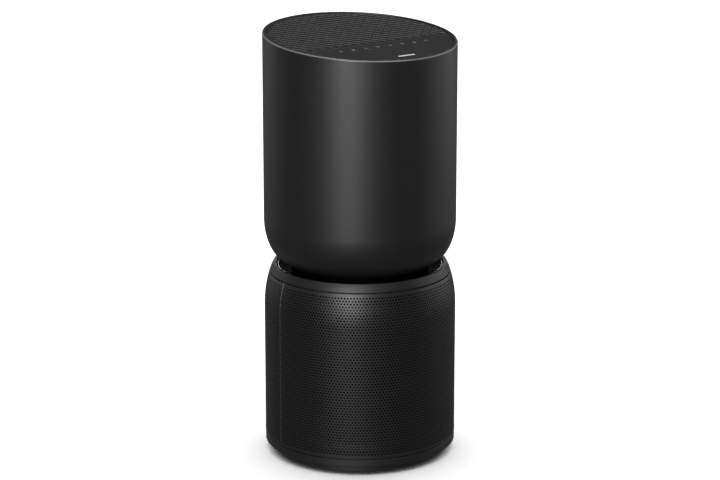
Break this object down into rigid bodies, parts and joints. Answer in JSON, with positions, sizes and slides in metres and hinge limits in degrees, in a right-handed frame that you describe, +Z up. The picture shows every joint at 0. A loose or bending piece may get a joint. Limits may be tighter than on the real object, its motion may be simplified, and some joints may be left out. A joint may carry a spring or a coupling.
{
  "type": "air purifier",
  "caption": "Tower air purifier: perforated round filter housing with a pull-off rear cover, a smooth fan drum above it, and a slanted top with outlet grille and touch keys.",
  "frame": {"origin": "centre of the foot, on the surface that it stands on", "axes": "+Z up along the drums' axis; the touch keys and the low edge of the slanted top are at the front, -Y; the power inlet and the pull-off cover face the rear, +Y"},
  "size_m": [0.22, 0.22, 0.4936],
  "materials": {
    "shell_plastic": "fine matte, moulded",
    "cage_plastic": "fine matte, perforated",
    "ring_plastic": "satin, moulded",
    "grille_plastic": "fine matte, moulded lattice",
    "panel_plastic": "smooth matte",
    "icon_window": "translucent pale windows",
    "light_guide": "smoked, clear and glossy",
    "structure_plastic": "plain moulded",
    "fan_plastic": "plain moulded",
    "inlet_plastic": "hard black",
    "rubber": "matte rubber",
    "foam": "soft closed-cell foam",
    "steel": "zinc plated",
    "shaft_steel": "ground",
    "contact_brass": "nickel plated brass",
    "copper_winding": "enamelled copper",
    "magnet": "nickel plated magnet",
    "motor_can": "cast",
    "circuit_board": "solder mask",
    "sensor_case": "plain moulded",
    "filter_cap": "plain moulded",
    "filter_paper": "pleated glass fibre paper",
    "carbon": "carbon granules",
    "net": "woven nylon net",
    "ribbon": "woven ribbon"
  },
  "bodies": {
    "housing": {"rubber_foot": "rubber", "foot_plinth": "ring_plastic", "base_ring": "ring_plastic", "bay_floor": "structure_plastic", "base_screws": "steel", "power_inlet": "inlet_plastic", "inlet_pins": "contact_brass", "power_board": "circuit_board", "filter_rails": "structure_plastic", "pillars": "structure_plastic", "pillar_screws": "steel", "front_grille": "cage_plastic", "grille_clips": "structure_plastic", "strike_plates": "steel", "fan_deck": "structure_plastic", "dust_sensor": "sensor_case", "shoulder_ring": "ring_plastic", "light_ring": "light_guide", "led_board": "circuit_board", "neck_collar": "structure_plastic", "neck_screws": "steel", "inlet_guard": "structure_plastic", "bellmouth": "fan_plastic", "fan_casing": "structure_plastic", "motor_stator": "copper_winding", "motor_bearings": "shaft_steel", "motor_housing": "motor_can", "motor_board": "circuit_board", "motor_dampers": "rubber", "motor_screws": "steel", "diffuser": "fan_plastic", "hub_cap": "fan_plastic", "outlet_duct": "structure_plastic", "upper_shell": "shell_plastic", "top_frame": "structure_plastic", "frame_screws": "steel", "top_grille": "grille_plastic", "control_panel": "panel_plastic", "touch_icons": "icon_window", "touch_board": "circuit_board", "control_board": "circuit_board"},
    "rear_cover_half": {"rear_cover": "cage_plastic", "cover_magnets": "magnet"},
    "filter_cartridge": {"filter_bottom_cap": "filter_cap", "filter_top_cap": "filter_cap", "filter_gasket": "foam", "inner_cage": "filter_cap", "carbon_layer": "carbon", "pleated_media": "filter_paper", "prefilter_net": "net", "filter_pull_tab": "ribbon"},
    "fan_rotor": {"impeller": "fan_plastic", "impeller_nut": "steel", "motor_shaft": "shaft_steel", "motor_rotor": "magnet"}
  },
  "joints": [
    {"name": "cover_pull", "type": "slide", "parent": "housing", "child": "rear_cover_half", "axis": [0, 1, 0], "range_m": [0, 0.3]},
    {"name": "filter_pull", "type": "slide", "parent": "housing", "child": "filter_cartridge", "axis": [0, 1, 0], "range_m": [0, 0.19]},
    {"name": "fan_spin", "type": "hinge", "parent": "housing", "child": "fan_rotor", "pos_m": [0, 0, 0.3], "axis": [0, 0, 1], "continuous": true}
  ],
  "couplings": [
    {"joint": "filter_pull", "follows": "cover_pull", "ratio": 0.6333}
  ]
}
